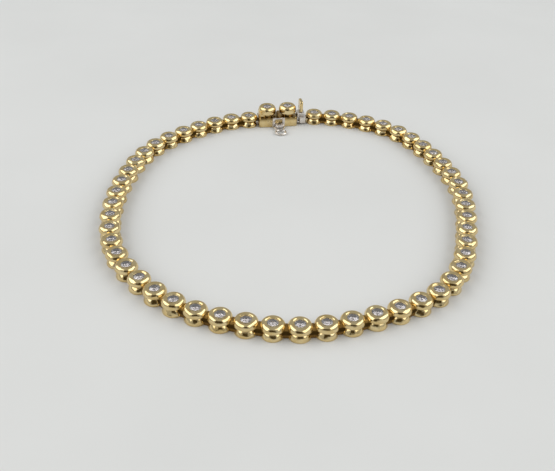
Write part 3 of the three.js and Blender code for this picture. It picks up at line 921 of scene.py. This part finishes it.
def make_hinge_plate():
    """White gold plate with a window, and the barrel of the latch's hinge at its foot."""
    plate = soft_block((-PLATE_HALF_WIDTH, PLATE_FRONT, PLATE_BOTTOM),
                       (PLATE_HALF_WIDTH, PLATE_BACK, PLATE_TOP), PLATE_CORNER, PLATE_EDGE)
    window = box_shape((-PLATE_WINDOW_HALF_WIDTH, PLATE_FRONT - CUT_FRONT_SPARE,
                        HINGE_HEIGHT + BARREL_RADIUS),
                       (PLATE_WINDOW_HALF_WIDTH, PLATE_BACK + CUT_SPARE, PLATE_WINDOW_TOP))
    clasp_piece("latch_plate", plate, white_gold, "bracelet", ["hinge_plate"], holes=[window])
    outside = [(BARREL_RADIUS - BARREL_EDGE, BARREL_HALF_LENGTH),
               (BARREL_RADIUS, BARREL_HALF_LENGTH - BARREL_EDGE)]
    outside += [(radius, -height) for radius, height in reversed(outside)]
    bore = [(BORE_RADIUS, -BARREL_HALF_LENGTH), (BORE_RADIUS, BARREL_HALF_LENGTH)]
    barrel = ring_of_revolution(list(reversed(outside + bore)), SMALL_SIDES)
    clasp_piece("latch_barrel", moved(barrel, HINGE_PLACE @ ALONG_X), white_gold, "bracelet",
                ["hinge_plate"])


def make_latch():
    """Wire safety latch in the shape of an eight, lying open."""
    turns = np.radians(np.linspace(0, 360, RING_STEPS, endpoint=False))
    ring_path = [(LATCH_RING_HALF_WIDTH * math.cos(t),
                  LATCH_RING_HALF_LENGTH * math.sin(t) - LATCH_RING_REACH, 0) for t in turns]
    shapes = [wire(ring_path, LATCH_WIRE_RADIUS, closed=True)]
    for side in (-1, 1):
        shares = np.linspace(0, 1, ARM_STEPS)
        eased = shares * shares * (3 - 2 * shares)
        arm = [(side * (LATCH_ARM + (LATCH_NECK - LATCH_ARM) * ease), -LATCH_NECK_REACH * share, 0)
               for share, ease in zip(shares, eased)]
        shapes.append(wire(arm, LATCH_WIRE_RADIUS))
    half = LATCH_ARM + LATCH_WIRE_RADIUS / 2
    shapes.append(moved(rod(LATCH_WIRE_RADIUS, -half, half, LATCH_ROD_EDGE), ALONG_X))
    place = HINGE_PLACE @ Matrix.Rotation(LATCH_DROP, 4, "X")
    clasp_piece("latch_wire", moved(joined(shapes), place), white_gold, "latch", ["safety_latch"])


def make_clasp():
    """All of the clasp."""
    make_case()
    make_tongue()
    make_spring()
    make_hinge_plate()
    make_latch()


make_chain()
make_clasp()


# Stage, light and camera

# Floor and dark cloth behind the camera in millimetres, the cloth as (y, z, half width) of its rows
FLOOR_HALF = 1500.0
CANOPY = ((-330, 35, 165), (-330, 250, 165))

# Windows in metres and watts, and the light of the room
WINDOW_SIZE = (0.9, 0.5)
WINDOWS = (("window_left", (-0.50, -0.08, 0.40), 2.6), ("window_right", (0.50, -0.08, 0.40), 2.45))
ROOM_COLOUR = (0.95, 0.98, 1.0)
ROOM_STRENGTH = 0.46


def make_floor():
    """Large pale floor under the bracelet."""
    half = FLOOR_HALF
    corners = [(-half, -half, 0), (half, -half, 0), (half, half, 0), (-half, half, 0)]
    floor = piece("floor", (np.array(corners), [[0, 1, 2, 3]]), floor_material(), smooth_below=0)


def soft_box(name, place, power):
    """Rectangular area light that faces the middle of the bracelet."""
    lamp = bpy.data.lights.new(name, "AREA")
    lamp.shape = "RECTANGLE"
    lamp.size, lamp.size_y = WINDOW_SIZE
    lamp.energy = power
    item = bpy.data.objects.new(name, lamp)
    item.location = place
    item.rotation_euler = (-Vector(place)).to_track_quat("-Z", "Y").to_euler()
    bpy.context.scene.collection.objects.link(item)


def make_lights():
    """Two soft windows at the sides, a dim room, and the dark of the room behind the camera."""
    for name, place, power in WINDOWS:
        soft_box(name, place, power)
    dark = new_material("dark_cloth", CLOTH_COLOUR, 0.0, CLOTH_ROUGHNESS)[0]
    corners = [(side * half, y, z) for y, z, half in CANOPY for side in (-1, 1)]
    faces = [[row, row + 1, row + 3, row + 2] for row in range(0, len(corners) - 2, 2)]
    canopy = piece("dark_canopy", (np.array(corners, float), faces), dark, smooth_below=0)
    world = bpy.data.worlds.new("room")
    world.use_nodes = True
    room = world.node_tree.nodes["Background"]
    room.inputs["Color"].default_value = (*ROOM_COLOUR, 1)
    room.inputs["Strength"].default_value = ROOM_STRENGTH
    bpy.context.scene.world = world
    bpy.context.scene.view_settings.view_transform = "Standard"


# Camera found by fitting the links' middles to the photograph
CAMERA_PLACE = (-0.00258, -0.09874, 0.06165)
CAMERA_TURN = math.radians(0.365)
CAMERA_TILT = math.radians(34.28)
CAMERA_ROLL = math.radians(2.0)
FOCAL_PIXELS = 754.8
IMAGE_WIDTH = 555
SENSOR_WIDTH = 36.0
CLIP_START = 0.005


def make_camera():
    """Camera at the photograph's angle."""
    forward = Vector((math.sin(CAMERA_TURN) * math.cos(CAMERA_TILT),
                      math.cos(CAMERA_TURN) * math.cos(CAMERA_TILT), -math.sin(CAMERA_TILT)))
    level = Vector((math.cos(CAMERA_TURN), -math.sin(CAMERA_TURN), 0))
    upward = level.cross(forward)
    right = math.cos(CAMERA_ROLL) * level + math.sin(CAMERA_ROLL) * upward
    top = math.cos(CAMERA_ROLL) * upward - math.sin(CAMERA_ROLL) * level
    data = bpy.data.cameras.new("camera")
    data.sensor_width = SENSOR_WIDTH
    data.lens = FOCAL_PIXELS / IMAGE_WIDTH * SENSOR_WIDTH
    data.clip_start = CLIP_START
    item = bpy.data.objects.new("camera", data)
    turn = Matrix((right, top, -forward)).transposed().to_4x4()
    item.matrix_world = Matrix.Translation(CAMERA_PLACE) @ turn
    bpy.context.scene.collection.objects.link(item)
    bpy.context.scene.camera = item


make_floor()
make_lights()
make_camera()
